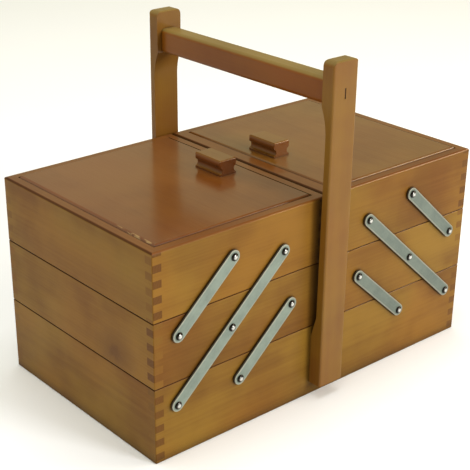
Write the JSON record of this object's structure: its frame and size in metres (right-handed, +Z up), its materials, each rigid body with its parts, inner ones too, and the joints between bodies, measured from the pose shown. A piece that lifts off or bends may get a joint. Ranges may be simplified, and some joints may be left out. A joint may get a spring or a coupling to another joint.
{
  "type": "cantilever sewing box",
  "caption": "Wooden sewing box with lidded trays that swing outwards in level tiers on flat steel arms, under a bar handle carried by upright posts.",
  "frame": {"origin": "bottom centre of the base box, on the surface it stands on", "axes": "+X along the long side, towards the right stack; +Y from the front to the back; +Z up"},
  "size_m": [0.42, 0.271, 0.3465],
  "materials": {
    "board_wood": "honey-coloured varnish, satin gloss",
    "lid_wood": "honey-brown varnish, gloss",
    "knob_wood": "reddish-brown varnish, gloss",
    "handle_wood": "honey-coloured varnish, satin gloss",
    "plywood": "pale plywood, thin varnish",
    "wedge_wood": "dark end grain",
    "arm_steel": "grey zinc plating, matte",
    "screw_steel": "nickel plating, polished"
  },
  "bodies": {
    "base": {"base_front": "board_wood", "base_back": "board_wood", "base_left_end": "board_wood", "base_right_end": "board_wood", "base_bottom": "plywood", "base_pivot_screws": "screw_steel", "handle_front_post": "handle_wood", "handle_back_post": "handle_wood", "handle_bar": "handle_wood", "handle_post_screws": "screw_steel", "handle_wedges": "wedge_wood"},
    "left_long_arms": {"left_long_arm_front": "arm_steel", "left_long_arm_back": "arm_steel"},
    "left_middle_tray": {"left_middle_tray_front": "board_wood", "left_middle_tray_back": "board_wood", "left_middle_tray_outer_end": "board_wood", "left_middle_tray_inner_end": "board_wood", "left_middle_tray_bottom": "plywood", "left_middle_tray_divider": "plywood", "left_middle_tray_pivot_screws": "screw_steel"},
    "left_top_tray": {"left_top_tray_front": "board_wood", "left_top_tray_back": "board_wood", "left_top_tray_outer_end": "board_wood", "left_top_tray_inner_end": "board_wood", "left_top_tray_bottom": "plywood", "left_top_tray_divider": "plywood", "left_top_tray_lid_rest": "board_wood", "left_top_tray_hinge_pins": "screw_steel", "left_top_tray_pivot_screws": "screw_steel"},
    "left_lower_arms": {"left_lower_arm_front": "arm_steel", "left_lower_arm_back": "arm_steel"},
    "left_upper_arms": {"left_upper_arm_front": "arm_steel", "left_upper_arm_back": "arm_steel"},
    "left_lid": {"left_lid_panel": "lid_wood", "left_lid_knob": "knob_wood"},
    "right_long_arms": {"right_long_arm_front": "arm_steel", "right_long_arm_back": "arm_steel"},
    "right_middle_tray": {"right_middle_tray_front": "board_wood", "right_middle_tray_back": "board_wood", "right_middle_tray_outer_end": "board_wood", "right_middle_tray_inner_end": "board_wood", "right_middle_tray_bottom": "plywood", "right_middle_tray_divider": "plywood", "right_middle_tray_pivot_screws": "screw_steel"},
    "right_top_tray": {"right_top_tray_front": "board_wood", "right_top_tray_back": "board_wood", "right_top_tray_outer_end": "board_wood", "right_top_tray_inner_end": "board_wood", "right_top_tray_bottom": "plywood", "right_top_tray_divider": "plywood", "right_top_tray_lid_rest": "board_wood", "right_top_tray_hinge_pins": "screw_steel", "right_top_tray_pivot_screws": "screw_steel"},
    "right_lower_arms": {"right_lower_arm_front": "arm_steel", "right_lower_arm_back": "arm_steel"},
    "right_upper_arms": {"right_upper_arm_front": "arm_steel", "right_upper_arm_back": "arm_steel"},
    "right_lid": {"right_lid_panel": "lid_wood", "right_lid_knob": "knob_wood"}
  },
  "joints": [
    {"name": "left_long_arms_on_base", "type": "hinge", "parent": "base", "child": "left_long_arms", "pos_m": [-0.186, 0, 0.0556], "axis": [0, -1, 0], "range_deg": [0, 95.51]},
    {"name": "left_middle_tray_on_long_arms", "type": "hinge", "parent": "left_long_arms", "child": "left_middle_tray", "pos_m": [-0.1218, 0, 0.1139], "axis": [0, 1, 0], "range_deg": [0, 95.51]},
    {"name": "left_top_tray_on_long_arms", "type": "hinge", "parent": "left_long_arms", "child": "left_top_tray", "pos_m": [-0.0576, 0, 0.1722], "axis": [0, 1, 0], "range_deg": [0, 95.51]},
    {"name": "left_lower_arms_on_base", "type": "hinge", "parent": "base", "child": "left_lower_arms", "pos_m": [-0.111, 0, 0.0556], "axis": [0, -1, 0], "range_deg": [0, 95.51]},
    {"name": "left_upper_arms_on_middle_tray", "type": "hinge", "parent": "left_middle_tray", "child": "left_upper_arms", "pos_m": [-0.184, 0, 0.1262], "axis": [0, -1, 0], "range_deg": [0, 95.51]},
    {"name": "left_lid_hinge", "type": "hinge", "parent": "left_top_tray", "child": "left_lid", "pos_m": [-0.1932, 0, 0.2091], "axis": [0, -1, 0], "range_deg": [0, 110]},
    {"name": "right_long_arms_on_base", "type": "hinge", "parent": "base", "child": "right_long_arms", "pos_m": [0.186, 0, 0.0556], "axis": [0, 1, 0], "range_deg": [0, 95.51]},
    {"name": "right_middle_tray_on_long_arms", "type": "hinge", "parent": "right_long_arms", "child": "right_middle_tray", "pos_m": [0.1218, 0, 0.1139], "axis": [0, -1, 0], "range_deg": [0, 95.51]},
    {"name": "right_top_tray_on_long_arms", "type": "hinge", "parent": "right_long_arms", "child": "right_top_tray", "pos_m": [0.0576, 0, 0.1722], "axis": [0, -1, 0], "range_deg": [0, 95.51]},
    {"name": "right_lower_arms_on_base", "type": "hinge", "parent": "base", "child": "right_lower_arms", "pos_m": [0.111, 0, 0.0556], "axis": [0, 1, 0], "range_deg": [0, 95.51]},
    {"name": "right_upper_arms_on_middle_tray", "type": "hinge", "parent": "right_middle_tray", "child": "right_upper_arms", "pos_m": [0.184, 0, 0.1262], "axis": [0, 1, 0], "range_deg": [0, 95.51]},
    {"name": "right_lid_hinge", "type": "hinge", "parent": "right_top_tray", "child": "right_lid", "pos_m": [0.1932, 0, 0.2091], "axis": [0, 1, 0], "range_deg": [0, 110]}
  ],
  "couplings": [
    {"joint": "left_middle_tray_on_long_arms", "follows": "left_long_arms_on_base", "ratio": 1},
    {"joint": "left_top_tray_on_long_arms", "follows": "left_long_arms_on_base", "ratio": 1},
    {"joint": "left_lower_arms_on_base", "follows": "left_long_arms_on_base", "ratio": 1},
    {"joint": "left_upper_arms_on_middle_tray", "follows": "left_long_arms_on_base", "ratio": 1},
    {"joint": "right_middle_tray_on_long_arms", "follows": "right_long_arms_on_base", "ratio": 1},
    {"joint": "right_top_tray_on_long_arms", "follows": "right_long_arms_on_base", "ratio": 1},
    {"joint": "right_lower_arms_on_base", "follows": "right_long_arms_on_base", "ratio": 1},
    {"joint": "right_upper_arms_on_middle_tray", "follows": "right_long_arms_on_base", "ratio": 1}
  ]
}
